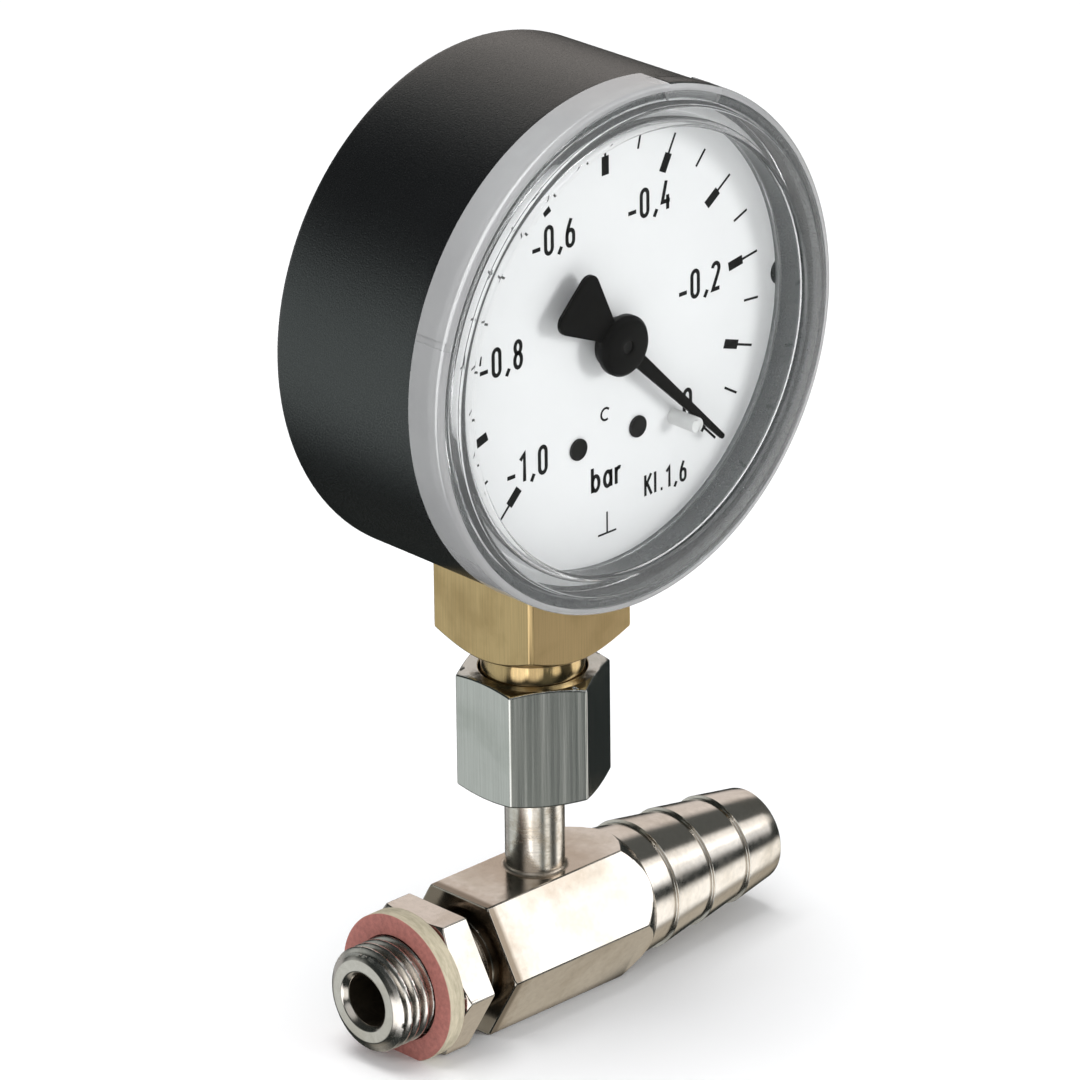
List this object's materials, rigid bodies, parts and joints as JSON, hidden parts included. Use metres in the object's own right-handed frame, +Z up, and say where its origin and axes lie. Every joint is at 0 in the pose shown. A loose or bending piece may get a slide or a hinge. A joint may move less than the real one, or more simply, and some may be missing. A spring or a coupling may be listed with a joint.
{
  "type": "vacuum gauge on tee fitting",
  "caption": "Round dial vacuum gauge on a swivelling stem above a tee fitting with a male threaded port, lock nut and seal ring on one side and a barbed hose tail on the other.",
  "frame": {"origin": "on the axis of the threaded port, in the middle of its free thread in front of the seal ring", "axes": "+X from the threaded port along the tee to the hose tail, +Z up the stem to the gauge, the dial faces -Y"},
  "size_m": [0.0691, 0.0309, 0.1223],
  "materials": {
    "tee_nickel": "nickel plated brass, turned and milled, satin",
    "stem_nickel": "nickel plated, fine turning lines",
    "nut_nickel": "nickel plated, drawn, satin",
    "braze": "braze metal, smooth",
    "gasket_fibre": "dark fibre gasket",
    "seal_fibre": "pressed fibre ring, red face and cream edge",
    "socket_brass": "brass, fine brushed",
    "brass": "brass, machined",
    "plate_brass": "brass sheet, brushed",
    "spring_bronze": "bronze, smooth",
    "case_plastic": "black moulded plastic, fine grain",
    "window_plastic": "clear moulded plastic, polished",
    "dial_white": "white paint on aluminium, printed scale",
    "dark_steel": "blackened steel",
    "screw_steel": "zinc plated steel",
    "arbor_steel": "ground steel",
    "pin_plastic": "milky white plastic",
    "pointer_black": "black moulded plastic"
  },
  "bodies": {
    "tee": {"tee_body": "tee_nickel", "stem_tube": "stem_nickel", "braze_fillet": "braze", "flat_gasket": "gasket_fibre"},
    "seal": {"seal_ring": "seal_fibre"},
    "lock": {"lock_nut": "tee_nickel"},
    "thrust": {"thrust_washer": "brass"},
    "union": {"union_nut": "nut_nickel"},
    "head": {"gauge_socket": "socket_brass", "case_shell": "case_plastic", "case_screws": "screw_steel", "dial": "dial_white", "dial_screws": "dark_steel", "dial_spacers": "brass", "stop_pin": "pin_plastic", "hairspring": "spring_bronze", "hairspring_stud": "brass", "movement_back_plate": "plate_brass", "movement_front_plate": "plate_brass", "movement_pillars": "brass", "pillar_screws": "screw_steel", "movement_screws": "screw_steel", "bourdon_tube": "spring_bronze"},
    "window": {"window": "window_plastic"},
    "needle": {"pointer": "pointer_black", "pinion_arbor": "arbor_steel", "hairspring_collet": "brass"},
    "sector": {"sector_gear": "brass", "sector_arbor": "arbor_steel", "sector_pin": "arbor_steel"},
    "tip": {"tube_tip": "brass", "tip_pin": "arbor_steel"},
    "link": {"link_bar": "brass"}
  },
  "joints": [
    {"name": "seal_slide", "type": "slide", "parent": "tee", "child": "seal", "axis": [1, 0, 0], "range_m": [-0.00405, 0.0027]},
    {"name": "lock_nut_turn", "type": "hinge", "parent": "seal", "child": "lock", "pos_m": [0.007, 0, 0], "axis": [1, 0, 0], "range_deg": [-1080, 720]},
    {"name": "thrust_slide", "type": "slide", "parent": "tee", "child": "thrust", "axis": [0, 0, 1], "range_m": [-0.00805, 0]},
    {"name": "union_nut_turn", "type": "hinge", "parent": "thrust", "child": "union", "pos_m": [0.0257, 0, 0.027], "axis": [0, 0, 1], "range_deg": [-2160, 0]},
    {"name": "head_swivel", "type": "hinge", "parent": "tee", "child": "head", "pos_m": [0.0257, 0, 0.0272], "axis": [0, 0, 1], "continuous": true},
    {"name": "window_pull", "type": "slide", "parent": "head", "child": "window", "axis": [0, -1, 0], "range_m": [0, 0.02]},
    {"name": "sector_turn", "type": "hinge", "parent": "head", "child": "sector", "pos_m": [0.0257, -0.007, 0.0646], "axis": [0, 1, 0], "range_deg": [0, 33.75], "stiffness_Nm_per_rad": 0.002},
    {"name": "pointer_turn", "type": "hinge", "parent": "head", "child": "needle", "pos_m": [0.0257, -0.01, 0.0808], "axis": [0, -1, 0], "range_deg": [0, 270], "deforming": ["hairspring"]},
    {"name": "tube_tip_travel", "type": "slide", "parent": "head", "child": "tip", "axis": [-0.6691, 0, -0.7431], "range_m": [0, 0.00303], "deforming": ["bourdon_tube"]},
    {"name": "link_pivot", "type": "hinge", "parent": "tip", "child": "link", "pos_m": [0.0447, -0.0059, 0.0703], "axis": [0, 1, 0], "range_deg": [0, 1.44]}
  ],
  "couplings": [
    {"joint": "seal_slide", "follows": "lock_nut_turn", "m_per_rad": 0.00021279},
    {"joint": "thrust_slide", "follows": "union_nut_turn", "m_per_rad": 0.00021279},
    {"joint": "pointer_turn", "follows": "sector_turn", "ratio": 8},
    {"joint": "tube_tip_travel", "follows": "sector_turn", "m_per_rad": 0.005115},
    {"joint": "link_pivot", "follows": "sector_turn", "ratio": 0.04194}
  ]
}
